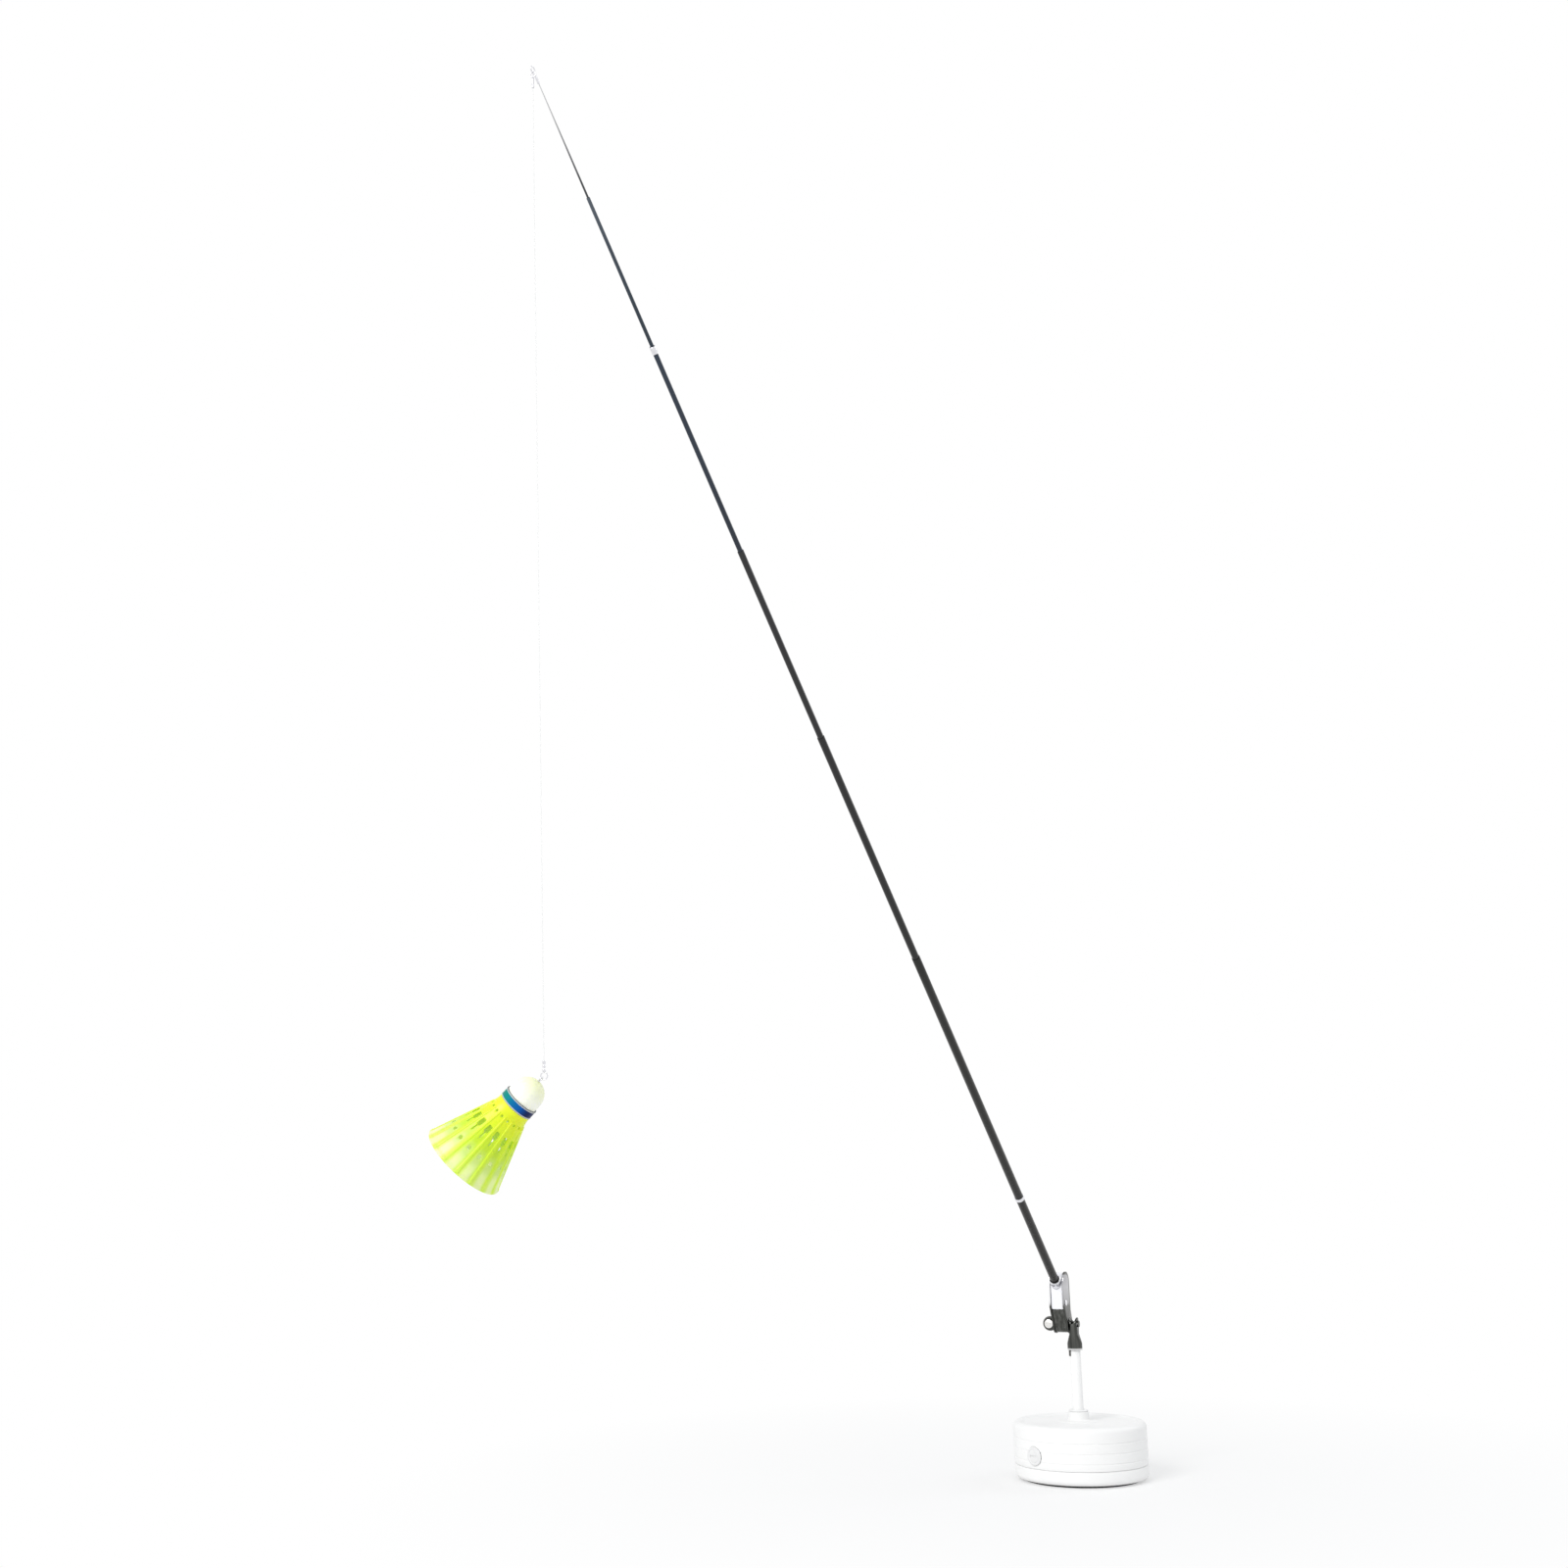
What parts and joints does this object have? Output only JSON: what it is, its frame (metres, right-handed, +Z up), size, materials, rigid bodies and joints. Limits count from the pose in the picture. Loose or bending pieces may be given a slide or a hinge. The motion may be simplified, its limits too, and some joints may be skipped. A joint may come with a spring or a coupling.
{
  "type": "badminton rebound trainer",
  "caption": "Round weighted base and short post with a tilting bracket that holds a telescopic rod, from whose tip a shuttlecock hangs on a line",
  "frame": {"origin": "middle of the rubber mat's underside, on the floor", "axes": "+Z up; the rod leans towards -Y; +X is the pivot's axis, with the knob on the -X side"},
  "size_m": [0.2, 1.6036, 1.413],
  "materials": {
    "white_plastic": "moulded white plastic with a light satin",
    "grey_plastic": "moulded grey plastic",
    "black_rubber": "plain black rubber",
    "white_paint": "white powder coat on steel tube",
    "dark_steel": "dark polished steel",
    "bright_steel": "bright plated steel",
    "water": "water or sand filling",
    "charcoal_rod": "charcoal lacquer on fibreglass",
    "slate_rod": "dark slate blue lacquer on fibreglass",
    "blue_grey_rod": "blue grey lacquer on fibreglass",
    "pale_rod": "pale fibreglass",
    "clear_line": "clear nylon line",
    "cork_cover": "off-white covered foam",
    "blue_band": "glossy blue to green band",
    "neon_nylon": "neon yellow-green nylon"
  },
  "bodies": {
    "base": {"rubber_mat": "black_rubber", "base_tray": "white_plastic", "base_shell": "white_plastic", "water_fill": "water"},
    "filler": {"filler_plug": "grey_plastic", "filler_gasket": "black_rubber"},
    "bush": {"post_bush": "white_plastic"},
    "post": {"post_tube": "white_paint", "bracket_sleeve": "dark_steel", "sleeve_screw": "bright_steel"},
    "head": {"bracket_yoke": "dark_steel", "clamp_block": "dark_steel", "rod_holder": "white_plastic", "holder_rivet": "bright_steel", "rod_socket": "bright_steel", "pivot_bolt": "dark_steel", "washer_head_side": "bright_steel", "washer_knob_side": "bright_steel"},
    "knob": {"pivot_knob": "dark_steel"},
    "rod_1": {"rod_section_1": "charcoal_rod", "butt_cap": "black_rubber", "keeper_band": "bright_steel"},
    "rod_2": {"rod_section_2": "charcoal_rod"},
    "rod_3": {"rod_section_3": "charcoal_rod"},
    "rod_4": {"rod_section_4": "slate_rod", "joint_ring": "bright_steel"},
    "rod_5": {"rod_section_5": "blue_grey_rod"},
    "rod_end": {"rod_tip": "pale_rod", "tip_ring": "bright_steel"},
    "link": {"tip_link": "bright_steel"},
    "hanging_line": {"upper_crimp": "bright_steel", "line": "clear_line", "lower_crimp": "bright_steel"},
    "shuttlecock": {"cork_eye": "bright_steel", "cork": "cork_cover", "cork_band": "blue_band", "skirt": "neon_nylon"}
  },
  "joints": [
    {"name": "filler_pull", "type": "slide", "parent": "base", "child": "filler", "axis": [-0.454, -0.891, 0], "range_m": [0, 0.02]},
    {"name": "post_turn", "type": "hinge", "parent": "base", "child": "bush", "pos_m": [0, 0, 0.09], "axis": [0, 0, 1], "continuous": true},
    {"name": "post_lift", "type": "slide", "parent": "bush", "child": "post", "axis": [0, 0, 1], "range_m": [0, 0.095]},
    {"name": "rod_tilt", "type": "hinge", "parent": "post", "child": "head", "pos_m": [0, 0, 0.223], "axis": [1, 0, 0], "range_deg": [-40, 18]},
    {"name": "knob_turn", "type": "hinge", "parent": "head", "child": "knob", "pos_m": [-0.0373, 0, 0.223], "axis": [1, 0, 0], "continuous": true},
    {"name": "rod_pull", "type": "slide", "parent": "head", "child": "rod_1", "axis": [0, -0.788, 0.6157], "range_m": [0, 0.05]},
    {"name": "section_2_slide", "type": "slide", "parent": "rod_1", "child": "rod_2", "axis": [0, -0.788, 0.6157], "range_m": [-0.35, 0]},
    {"name": "section_3_slide", "type": "slide", "parent": "rod_2", "child": "rod_3", "axis": [0, -0.788, 0.6157], "range_m": [-0.248, 0]},
    {"name": "section_4_slide", "type": "slide", "parent": "rod_3", "child": "rod_4", "axis": [0, -0.788, 0.6157], "range_m": [-0.228, 0]},
    {"name": "section_5_slide", "type": "slide", "parent": "rod_4", "child": "rod_5", "axis": [0, -0.788, 0.6157], "range_m": [-0.146, 0]},
    {"name": "tip_slide", "type": "slide", "parent": "rod_5", "child": "rod_end", "axis": [0, -0.788, 0.6157], "range_m": [-0.102, 0]},
    {"name": "link_swing", "type": "hinge", "parent": "rod_end", "child": "link", "pos_m": [-0.0173, -1.46305, 1.40921], "axis": [1, 0, 0], "range_deg": [-30, 12]},
    {"name": "line_swing", "type": "hinge", "parent": "link", "child": "hanging_line", "pos_m": [-0.0173, -1.46305, 1.40461], "axis": [-0.1908, 0.9816, 0], "range_deg": [-30, 30]},
    {"name": "shuttle_swing", "type": "hinge", "parent": "hanging_line", "child": "shuttlecock", "pos_m": [0.01384, -1.457, 0.50261], "axis": [-0.1908, 0.9816, 0], "range_deg": [-100, 60]}
  ]
}
